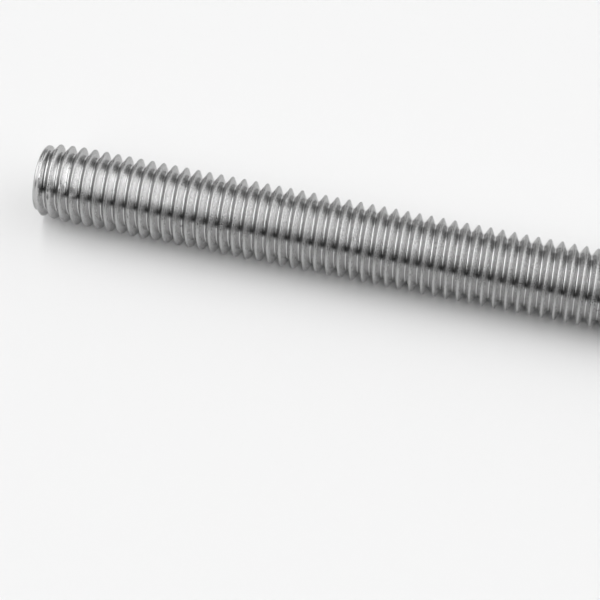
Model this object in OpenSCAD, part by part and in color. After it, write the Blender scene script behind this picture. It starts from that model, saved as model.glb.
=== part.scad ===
// Fully threaded metric rod, cut to length.
// It lies along X on the plane z = 0, with the origin under its middle.
// The solid is the thread's envelope: the surface that passes over the crests
// of the helical thread, with the lead-in tapers and the chamfers of both ends.
// The groove of the thread lies inside it, about two thirds of a pitch deep.

/* [Thread] */
// Major diameter, over the crests
major_d = 9.8; // [6:0.1:24]
// Pitch, how far the thread advances in one turn
pitch = 1.5; // [1:0.05:3]

/* [Rod] */
// Length over both ends
rod_length = 120; // [50:1:1000]

/* [Ends] */
// Turns over which the crests rise to full height at each end
lead_in_turns = 3; // [1:0.5:5]
// How far the crests are below full height at the chamfer, on the radius
lead_in_drop = 0.3; // [0.1:0.05:0.6]
// Width of the chamfer around each end face, at 45 degrees
chamfer = 0.45; // [0.1:0.05:0.8]

/* [Hidden] */

major_r = major_d / 2;
lead_in = lead_in_turns * pitch;
crest_r = major_r - lead_in_drop;
face_r = crest_r - chamfer;
round_facets = 96;

// Half of the envelope's section, from the axis outwards, with the rod's length upwards
module section() {
    polygon([
        [0, 0],
        [face_r, 0],
        [crest_r, chamfer],
        [major_r, lead_in],
        [major_r, rod_length - lead_in],
        [crest_r, rod_length - chamfer],
        [face_r, rod_length],
        [0, rod_length],
    ]);
}

module rod() {
    color("silver")
        translate([-rod_length / 2, 0, major_r])
        rotate([0, 90, 0])
        rotate_extrude($fn = round_facets)
        section();
}

rod();
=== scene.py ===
import math

import bmesh
import bpy
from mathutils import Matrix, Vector


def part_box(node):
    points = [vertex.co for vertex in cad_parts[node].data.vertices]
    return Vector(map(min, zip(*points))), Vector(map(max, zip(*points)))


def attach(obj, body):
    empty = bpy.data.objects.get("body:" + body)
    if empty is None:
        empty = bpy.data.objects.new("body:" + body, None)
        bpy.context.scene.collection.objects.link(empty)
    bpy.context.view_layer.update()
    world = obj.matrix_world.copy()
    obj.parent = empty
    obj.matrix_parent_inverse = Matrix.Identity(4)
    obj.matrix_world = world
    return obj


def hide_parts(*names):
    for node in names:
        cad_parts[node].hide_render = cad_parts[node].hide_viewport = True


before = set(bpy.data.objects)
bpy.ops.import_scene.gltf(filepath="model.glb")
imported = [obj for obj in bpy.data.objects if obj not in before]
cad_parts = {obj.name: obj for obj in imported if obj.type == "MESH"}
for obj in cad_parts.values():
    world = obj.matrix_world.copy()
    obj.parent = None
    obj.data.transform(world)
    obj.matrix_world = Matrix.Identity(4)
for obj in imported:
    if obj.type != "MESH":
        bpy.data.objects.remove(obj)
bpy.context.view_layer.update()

MM = 0.001

# ---- The rod's sizes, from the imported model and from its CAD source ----
rod_low, rod_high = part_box("rod")
ROD_LENGTH = rod_high[0] - rod_low[0]
MAJOR_R = min(rod_high[1] - rod_low[1], rod_high[2] - rod_low[2]) / 2
AXIS_HEIGHT = (rod_low[2] + rod_high[2]) / 2
PITCH = 1.5 * MM
CHAMFER = 0.45 * MM
LEAD_IN = 3 * PITCH
LEAD_IN_DROP = 0.3 * MM

# ---- The thread's form ----
THREAD_DEPTH = 0.64 * PITCH
CREST_WIDTH = 0.14 * PITCH
CREST_CORNER_R = 0.14 * MM
FLANK_SLOPE = math.radians(60)
# How far the first crest starts from the left end.
FIRST_CREST = 0.03 * PITCH
# Where the thread runs in, its crests are lower again, and what stands above that is nearly flat.
RUN_IN_FIRST = 0.5 * MM
RUN_IN_LAST = 0.9 * MM
RUN_IN_DROP = 0.35 * MM
FLAT_CROWN = 0.2

# ---- How fine the mesh is, and how it is trimmed ----
SIDES = 90
CORNER_STEPS = 2
ROOT_STEPS = 6
# Flanks this near to an end get extra points between root and crest.
END_FLANKS = 0.9 * PITCH
END_FLANK_CUTS = 4
# The bar is made this many turns too long at each end, then cut to this much too long.
SPARE_TURNS = 2
SPARE_LENGTH = 0.3 * PITCH
# Points this near to each other become one: where turns meet, and then where the bar is cut.
WELD = 0.004 * MM
FINE_WELD = 0.0001 * MM
# An edge that turns more than this shows as a sharp one.
SHARP_EDGE = math.radians(35)

# ---- The surface's marks ----
# Knocks on the crests: the turn from the left end, degrees from the back up and over, and depth.
KNOCKS = [
    (1, 148, 0.14 * MM), (2, 128, 0.09 * MM), (3, 136, 0.18 * MM), (5, 66, 0.10 * MM),
    (7, 97, 0.09 * MM), (8, 152, 0.13 * MM), (11, 118, 0.08 * MM), (16, 139, 0.12 * MM),
    (21, 84, 0.14 * MM), (27, 125, 0.10 * MM), (33, 108, 0.12 * MM), (38, 76, 0.10 * MM),
    (45, 250, 0.15 * MM), (52, 20, 0.12 * MM), (61, 200, 0.16 * MM), (70, 160, 0.12 * MM),
]
KNOCK_R = 0.45 * MM
# Die lines and grains are drawn two or three times coarser than real ones, so that they show.
LINE_GAP = 0.08 * MM
LINE_STRETCH = 18
LINE_DEPTH = 0.0008 * MM
GRAIN_SIZE = 0.14 * MM
GRAIN_DEPTH = 0.013 * MM
PIT_GAP = 0.4 * MM
PIT_DEPTH = 0.010 * MM
# The saw's lines on the cut ends, and the turned rings over them.
SAW_GAP = 0.25 * MM
SAW_STRETCH = 12
SAW_LEAN = math.radians(24)
SAW_DEPTH = 0.012 * MM
RING_GAP = 0.3 * MM
RING_DEPTH = 0.002 * MM

# ---- Roughness ----
ROOT_ROUGHNESS = 0.13
FLANK_ROUGHNESS = 0.26
# How much rougher the crests are than the flanks, and how far their grains vary that.
CREST_DULLNESS = 0.03
MOTTLE = 0.3
# The saw's lines go from the smoother to the rougher.
SAWN_ROUGHNESS = (0.28, 0.42)


def camera():
    """A long lens, looking down on the rod from its front and a little from its right."""
    data = bpy.data.cameras.new("camera")
    data.sensor_width = 36
    data.lens = 123.4
    cam = bpy.data.objects.new("camera", data)
    bpy.context.collection.objects.link(cam)
    cam.location = (7.28 * MM, -139.9 * MM, 219.3 * MM)
    forward = Vector((-0.1230, 0.5139, -0.8490))
    cam.rotation_euler = forward.to_track_quat("-Z", "Y").to_euler()
    bpy.context.scene.camera = cam


def arc(centre, radius, first, last, steps):
    """Points of an arc in the (along, outward) plane; angles are measured from outward."""
    points = []
    for i in range(steps + 1):
        a = first + (last - first) * i / steps
        points.append((centre[0] + radius * math.sin(a), centre[1] + radius * math.cos(a)))
    return points


def thread_section():
    """One pitch of the section, from a crest's right corner to the next crest's left corner."""
    corner_cut = CREST_CORNER_R * math.tan(FLANK_SLOPE / 2)
    flat = CREST_WIDTH / 2 - corner_cut
    sharp_depth = (PITCH - CREST_WIDTH) / 2 * math.tan(FLANK_SLOPE)
    root_r = sharp_depth - THREAD_DEPTH
    crest_centre = MAJOR_R - CREST_CORNER_R
    right = arc((flat, crest_centre), CREST_CORNER_R, 0, FLANK_SLOPE, CORNER_STEPS)
    root_centre = (PITCH / 2, MAJOR_R - THREAD_DEPTH + root_r)
    root = arc(
        root_centre, root_r, math.pi + FLANK_SLOPE, math.pi - FLANK_SLOPE, ROOT_STEPS,
    )
    left = arc((PITCH - flat, crest_centre), CREST_CORNER_R, -FLANK_SLOPE, 0, CORNER_STEPS)
    return right + root + left


def chain(bm, points):
    """Points given along and outward, joined in turn by edges."""
    verts = [bm.verts.new((along, outward, 0)) for along, outward in points]
    edges = [bm.edges.new(pair) for pair in zip(verts, verts[1:])]
    return verts + edges


def lower_end_crests(bm):
    """The dies fill the end turns less: their crests are low, and flat where the thread runs in."""
    # Only an edge that runs up a flank is longer than a third of the pitch.
    end_flanks = []
    for edge in bm.edges:
        middle = abs(edge.verts[0].co.x + edge.verts[1].co.x) / 2
        if edge.calc_length() > PITCH / 3 and middle > ROD_LENGTH / 2 - END_FLANKS:
            end_flanks.append(edge)
    bmesh.ops.subdivide_edges(bm, edges=end_flanks, cuts=END_FLANK_CUTS, use_grid_fill=True)
    for vert in bm.verts:
        from_end = ROD_LENGTH / 2 - abs(vert.co.x)
        drop = LEAD_IN_DROP * max(1 - from_end / LEAD_IN, 0)
        run_in = min(max((RUN_IN_LAST - from_end) / (RUN_IN_LAST - RUN_IN_FIRST), 0), 1)
        top = MAJOR_R - drop - RUN_IN_DROP * run_in
        radius = math.hypot(vert.co.y, vert.co.z)
        height = max(1 - (MAJOR_R - radius) / THREAD_DEPTH, 0)
        lowered = radius - drop * height
        if lowered > top:
            lowered = top + FLAT_CROWN * (lowered - top)
        vert.co.y *= lowered / radius
        vert.co.z *= lowered / radius


def knock_crests(bm):
    """Small dents where the bar has knocked against others, each on the crest at its place."""
    for turn, degrees, depth in KNOCKS:
        angle = math.radians(degrees)
        along = FIRST_CREST - ROD_LENGTH / 2 + (turn + degrees / 360) * PITCH
        centre = Vector((along, MAJOR_R * math.cos(angle), MAJOR_R * math.sin(angle)))
        for vert in bm.verts:
            reach = 1 - (vert.co - centre).length_squared / KNOCK_R ** 2
            if reach > 0:
                scale = 1 - depth * reach / MAJOR_R
                vert.co.y *= scale
                vert.co.z *= scale


def threaded_bar():
    """The whole thread, a little longer than the rod, closed at both ends."""
    bm = bmesh.new()
    turns = round(ROD_LENGTH / PITCH) + 2 * SPARE_TURNS
    start = -ROD_LENGTH / 2 + FIRST_CREST - SPARE_TURNS * PITCH
    points = []
    for turn in range(turns):
        points += [(start + turn * PITCH + a, r) for a, r in thread_section()]
    bmesh.ops.spin(
        bm, geom=chain(bm, points), cent=(0, 0, 0), axis=(1, 0, 0),
        dvec=(PITCH / SIDES, 0, 0), angle=2 * math.pi, steps=SIDES,
        use_merge=False, use_duplicate=False,
    )
    bmesh.ops.remove_doubles(bm, verts=bm.verts, dist=WELD)
    lower_end_crests(bm)
    knock_crests(bm)
    for side in (-1, 1):
        bmesh.ops.bisect_plane(
            bm, geom=bm.verts[:] + bm.edges[:] + bm.faces[:], dist=FINE_WELD,
            plane_co=(side * (ROD_LENGTH / 2 + SPARE_LENGTH), 0, 0),
            plane_no=(side, 0, 0), clear_outer=True,
        )
        rim = [e for e in bm.edges if e.is_boundary and e.verts[0].co.x * side > 0]
        bmesh.ops.contextual_create(bm, geom=rim)
    bmesh.ops.recalc_face_normals(bm, faces=bm.faces)
    return bm


def end_envelope():
    """The turned outline that the thread is cut back to, with its end faces and chamfers."""
    # The chamfer's cone runs on past the crests by this much. The lead-in is in the crests already.
    clear = 0.1 * MM
    half = [
        (0, 0),
        (0, MAJOR_R - LEAD_IN_DROP - CHAMFER),
        (CHAMFER + LEAD_IN_DROP + clear, MAJOR_R + clear),
    ]
    points = [(-ROD_LENGTH / 2 + a, r) for a, r in half]
    points += [(ROD_LENGTH / 2 - a, r) for a, r in reversed(half)]
    bm = bmesh.new()
    bmesh.ops.spin(
        bm, geom=chain(bm, points), cent=(0, 0, 0), axis=(1, 0, 0), dvec=(0, 0, 0),
        angle=2 * math.pi, steps=SIDES * 2, use_merge=True, use_duplicate=False,
    )
    bmesh.ops.remove_doubles(bm, verts=bm.verts, dist=WELD)
    bmesh.ops.recalc_face_normals(bm, faces=bm.faces)
    return bm


def new_object(name, bm):
    """An object with the bmesh as its mesh; the bmesh is used up."""
    mesh = bpy.data.meshes.new(name)
    bm.to_mesh(mesh)
    bm.free()
    obj = bpy.data.objects.new(name, mesh)
    bpy.context.collection.objects.link(obj)
    return obj


def threaded_rod():
    """The rod itself: the thread, trimmed by the turned outline, with its two finishes."""
    bar = new_object("bar", threaded_bar())
    envelope = new_object("envelope", end_envelope())
    cut = bar.modifiers.new("cut", "BOOLEAN")
    cut.operation = "INTERSECT"
    cut.solver = "MANIFOLD"
    cut.object = envelope
    cut_bar = bar.evaluated_get(bpy.context.evaluated_depsgraph_get())
    bm = bmesh.new()
    bm.from_mesh(cut_bar.to_mesh())
    for helper in (bar, envelope):
        bpy.data.objects.remove(helper)
    bmesh.ops.remove_doubles(bm, verts=bm.verts, dist=FINE_WELD)
    bmesh.ops.translate(bm, verts=bm.verts, vec=(0, 0, AXIS_HEIGHT))
    for face in bm.faces:
        face.smooth = True
        # Only the two cut ends face along the rod, and they have the second finish.
        face.material_index = int(abs(face.normal.x) > 0.99)
    for edge in bm.edges:
        edge.smooth = edge.calc_face_angle(0) < SHARP_EDGE
    rod = new_object("threaded_rod", bm)
    rod.data.materials.append(rolled_stainless())
    rod.data.materials.append(sawn_stainless())
    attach(rod, "root")
    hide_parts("rod")


def linear(hex_colour):
    """An sRGB hex colour as linear red, green, blue, alpha."""
    channels = [int(hex_colour[i:i + 2], 16) / 255 for i in (1, 3, 5)]
    return [c / 12.92 if c <= 0.04045 else ((c + 0.055) / 1.055) ** 2.4 for c in channels] + [1]


def add_node(owner, kind, settings=None, **links):
    """Adds a node to a material or world. Settings go to its properties and links to its sockets. A
    link's name is the socket's, with _ for a space, or i and the socket's number. Its value is a
    number, a colour or another node's output."""
    node = owner.node_tree.nodes.new(kind)
    for name, value in (settings or {}).items():
        setattr(node, name, value)
    for name, value in links.items():
        key = int(name[1:]) if name[0] == "i" and name[1:].isdigit() else name.replace("_", " ")
        if isinstance(value, bpy.types.NodeSocket):
            owner.node_tree.links.new(value, node.inputs[key])
        else:
            node.inputs[key].default_value = value
    return node


def new_material(name):
    """A new material and its shader."""
    mat = bpy.data.materials.new(name)
    mat.use_nodes = True
    return mat, mat.node_tree.nodes["Principled BSDF"]


def from_axis(mat):
    """Coordinates in millimetres, from the middle of the rod's axis."""
    coords = add_node(mat, "ShaderNodeTexCoord").outputs["Object"]
    return add_node(
        mat, "ShaderNodeMapping", {"vector_type": "POINT"}, Vector=coords,
        Location=(0, 0, -AXIS_HEIGHT / MM), Scale=(1 / MM, 1 / MM, 1 / MM),
    ).outputs[0]


def rolled_stainless():
    """Stainless bar with its thread rolled between dies: bright burnished roots, satin flanks with
    fine lines along the thread, and duller, speckled crests that the dies hardly touch."""
    mat, shader = new_material("rolled_stainless_steel")
    shader.inputs["Metallic"].default_value = 1
    # The finely lined flanks darken at a glancing angle.
    shader.inputs["Specular Tint"].default_value = linear("#DADADA")
    place = from_axis(mat)
    around = add_node(
        mat, "ShaderNodeVectorMath", {"operation": "MULTIPLY"}, i0=place, i1=(0, 1, 1),
    ).outputs[0]
    radius = add_node(
        mat, "ShaderNodeVectorMath", {"operation": "LENGTH"}, i0=around,
    ).outputs["Value"]
    # Height goes from 0 in the root to 1 on the crest.
    height = add_node(
        mat, "ShaderNodeMapRange", Value=radius,
        From_Min=(MAJOR_R - THREAD_DEPTH) / MM, From_Max=MAJOR_R / MM,
    ).outputs[0]

    # Die lines: long along the thread, and close together up the flank.
    line_row = add_node(
        mat, "ShaderNodeMath", {"operation": "MULTIPLY"}, i0=radius, i1=LINE_STRETCH,
    ).outputs[0]
    lines = add_node(
        mat, "ShaderNodeTexNoise", {"noise_dimensions": "4D"}, Vector=place, W=line_row,
        Scale=1 / (LINE_GAP / MM * LINE_STRETCH), Detail=2,
    ).outputs[0]
    line_depth = add_node(
        mat, "ShaderNodeMapRange", Value=height, From_Min=0.25, From_Max=0.5,
        To_Min=0, To_Max=LINE_DEPTH,
    ).outputs[0]
    line_relief = add_node(
        mat, "ShaderNodeMath", {"operation": "MULTIPLY"}, i0=lines, i1=line_depth,
    ).outputs[0]

    # Grains of the drawn bar, which stay rough on the crests.
    grains = add_node(
        mat, "ShaderNodeTexNoise", Vector=place, Scale=MM / GRAIN_SIZE, Detail=2, Roughness=0.6,
    ).outputs[0]
    grain_depth = add_node(
        mat, "ShaderNodeMapRange", Value=height, From_Min=0.5, From_Max=0.85,
        To_Min=0, To_Max=GRAIN_DEPTH,
    ).outputs[0]
    grain_relief = add_node(
        mat, "ShaderNodeMath", {"operation": "MULTIPLY_ADD"},
        i0=grains, i1=grain_depth, i2=line_relief,
    ).outputs[0]

    # A few small pits, anywhere: the bump dents them, and their colour is darkened as painted
    # shade.
    blots = add_node(
        mat, "ShaderNodeTexNoise", Vector=place, Scale=MM / PIT_GAP, Detail=1, Roughness=0.4,
    ).outputs[0]
    pits_and_painted_shade = add_node(
        mat, "ShaderNodeMapRange", Value=blots, From_Min=0.71, From_Max=0.80,
    ).outputs[0]
    relief = add_node(
        mat, "ShaderNodeMath", {"operation": "MULTIPLY_ADD"},
        i0=pits_and_painted_shade, i1=-PIT_DEPTH, i2=grain_relief,
    ).outputs[0]
    bump = add_node(mat, "ShaderNodeBump", Height=relief, Distance=1.0, Strength=1.0).outputs[0]
    mat.node_tree.links.new(bump, shader.inputs["Normal"])

    # The dies hardly touch the crests, which stay a little duller and darker, as drawn.
    crest = add_node(
        mat, "ShaderNodeMapRange", Value=height, From_Min=0.7, From_Max=0.95,
    ).outputs[0]

    # The finish goes from burnished in the root to satin a third of the way up.
    finish = add_node(
        mat, "ShaderNodeMapRange", Value=height, From_Min=0.08, From_Max=0.35,
        To_Min=ROOT_ROUGHNESS, To_Max=FLANK_ROUGHNESS,
    ).outputs[0]
    mottle = add_node(
        mat, "ShaderNodeMapRange", Value=height, From_Min=0.3, From_Max=1,
        To_Min=0, To_Max=MOTTLE,
    ).outputs[0]
    gloss = add_node(
        mat, "ShaderNodeMath", {"operation": "MULTIPLY_ADD"},
        i0=crest, i1=CREST_DULLNESS, i2=finish,
    ).outputs[0]
    centred = add_node(
        mat, "ShaderNodeMath", {"operation": "SUBTRACT"}, i0=grains, i1=0.5,
    ).outputs[0]
    roughness = add_node(
        mat, "ShaderNodeMath", {"operation": "MULTIPLY_ADD"}, i0=centred, i1=mottle, i2=gloss,
    ).outputs[0]
    mat.node_tree.links.new(roughness, shader.inputs["Roughness"])

    metal = add_node(
        mat, "ShaderNodeMix", {"data_type": "RGBA"}, Factor=grains,
        i6=linear("#B5B5B5"), i7=linear("#CCCCCC"),
    ).outputs[2]
    drawn_metal = add_node(
        mat, "ShaderNodeMix", {"data_type": "RGBA"}, Factor=crest, i6=metal, i7=linear("#B4B4B4"),
    ).outputs[2]
    # The pits' colour goes dark: painted shade in them.
    tone = add_node(
        mat, "ShaderNodeMix", {"data_type": "RGBA"}, Factor=pits_and_painted_shade,
        i6=drawn_metal, i7=linear("#7E7D7C"),
    ).outputs[2]
    mat.node_tree.links.new(tone, shader.inputs["Base Color"])
    return mat


def sawn_stainless():
    """Stainless ends, sawn and faced lightly: fine straight saw lines under faint turned rings."""
    mat, shader = new_material("sawn_stainless_steel")
    shader.inputs["Metallic"].default_value = 1
    place = from_axis(mat)
    # Saw lines lean a little, and are much longer than they are wide.
    across = add_node(
        mat, "ShaderNodeMapping", {"vector_type": "POINT"}, Vector=place,
        Rotation=(SAW_LEAN, 0, 0), Scale=(1, 1 / SAW_STRETCH, 1),
    ).outputs[0]
    saw_lines = add_node(
        mat, "ShaderNodeTexNoise", Vector=across, Scale=MM / SAW_GAP, Detail=3, Roughness=0.6,
    ).outputs[0]
    # A wave at scale 1 repeats every pi / 10.
    rings = add_node(
        mat, "ShaderNodeTexWave", {"wave_type": "RINGS", "rings_direction": "X"}, Vector=place,
        Scale=math.pi / 10 / (RING_GAP / MM), Distortion=0.6, Detail=1,
    ).outputs[1]
    saw_relief = add_node(
        mat, "ShaderNodeMath", {"operation": "MULTIPLY"}, i0=saw_lines, i1=SAW_DEPTH,
    ).outputs[0]
    relief = add_node(
        mat, "ShaderNodeMath", {"operation": "MULTIPLY_ADD"},
        i0=rings, i1=RING_DEPTH, i2=saw_relief,
    ).outputs[0]
    bump = add_node(mat, "ShaderNodeBump", Height=relief, Distance=1.0, Strength=1.0).outputs[0]
    mat.node_tree.links.new(bump, shader.inputs["Normal"])
    roughness = add_node(
        mat, "ShaderNodeMapRange", Value=saw_lines, From_Min=0.3, From_Max=0.7,
        To_Min=SAWN_ROUGHNESS[0], To_Max=SAWN_ROUGHNESS[1],
    ).outputs[0]
    mat.node_tree.links.new(roughness, shader.inputs["Roughness"])
    tone = add_node(
        mat, "ShaderNodeMix", {"data_type": "RGBA"}, Factor=saw_lines,
        i6=linear("#9E9E9D"), i7=linear("#C2C2C1"),
    ).outputs[2]
    mat.node_tree.links.new(tone, shader.inputs["Base Color"])
    return mat


def floor():
    """Matt white paper: an even ground without glare, which runs far out of view."""
    bm = bmesh.new()
    bmesh.ops.create_grid(bm, x_segments=1, y_segments=1, size=4)
    obj = new_object("floor", bm)
    mat, shader = new_material("white_paper")
    shader.inputs["Base Color"].default_value = linear("#E9E9E9")
    shader.inputs["Roughness"].default_value = 0.9
    shader.inputs["Specular IOR Level"].default_value = 0.0
    obj.data.materials.append(mat)


def soft_window(world, direction, centre, half_size, radiance):
    """A soft-edged oval light; its centre and half size are in degrees up from the front horizon
    and to the right."""
    up, right = (math.radians(angle) for angle in centre)
    half_up, half_right = (math.radians(angle) for angle in half_size)
    place = add_node(
        world, "ShaderNodeMapping", {"vector_type": "POINT"}, Vector=direction,
        Location=(-up / half_up, -right / half_right, 0), Scale=(1 / half_up, 1 / half_right, 0),
    ).outputs[0]
    distance = add_node(
        world, "ShaderNodeVectorMath", {"operation": "LENGTH"}, i0=place,
    ).outputs["Value"]
    # It fades out between 0.6 and 1.4 of its half size.
    return add_node(
        world, "ShaderNodeMapRange", {"interpolation_type": "SMOOTHSTEP"}, Value=distance,
        From_Min=1.4, From_Max=0.6, To_Min=0, To_Max=radiance,
    ).outputs[0]


def light():
    """A pale room: a narrow strip light over the rod, broad soft lights on its right and left,
    and a faint one low behind it."""
    world = bpy.data.worlds.new("studio")
    bpy.context.scene.world = world
    world.use_nodes = True
    ray = add_node(world, "ShaderNodeTexCoord").outputs["Generated"]
    axes = add_node(world, "ShaderNodeSeparateXYZ", Vector=ray).outputs
    # The direction's height above the front horizon, over the top, and its turn to the right.
    front = add_node(
        world, "ShaderNodeMath", {"operation": "MULTIPLY"}, i0=axes[1], i1=-1,
    ).outputs[0]
    up = add_node(
        world, "ShaderNodeMath", {"operation": "ARCTAN2"}, i0=axes[2], i1=front,
    ).outputs[0]
    right = add_node(world, "ShaderNodeMath", {"operation": "ARCSINE"}, i0=axes[0]).outputs[0]
    direction = add_node(world, "ShaderNodeCombineXYZ", X=up, Y=right).outputs[0]
    # The room itself, brighter towards the horizon.
    total = add_node(
        world, "ShaderNodeMapRange", {"interpolation_type": "SMOOTHSTEP"}, Value=axes[2],
        From_Min=0.22, From_Max=0, To_Min=0.03, To_Max=0.72,
    ).outputs[0]
    # Each light's centre and half size, and how bright it is.
    strip = ((85, -17), (51, 8), 5.9)
    side = ((112, 60), (66, 44), 1.35)
    left = ((94, -63), (58, 24), 1.9)
    back = ((163, 0), (17, 70), 0.22)
    for centre, half_size, radiance in (strip, side, left, back):
        window = soft_window(world, direction, centre, half_size, radiance)
        total = add_node(
            world, "ShaderNodeMath", {"operation": "ADD"}, i0=total, i1=window,
        ).outputs[0]
    world.node_tree.links.new(total, world.node_tree.nodes["Background"].inputs["Color"])


camera()
threaded_rod()
floor()
light()
bpy.context.scene.view_settings.view_transform = "Standard"
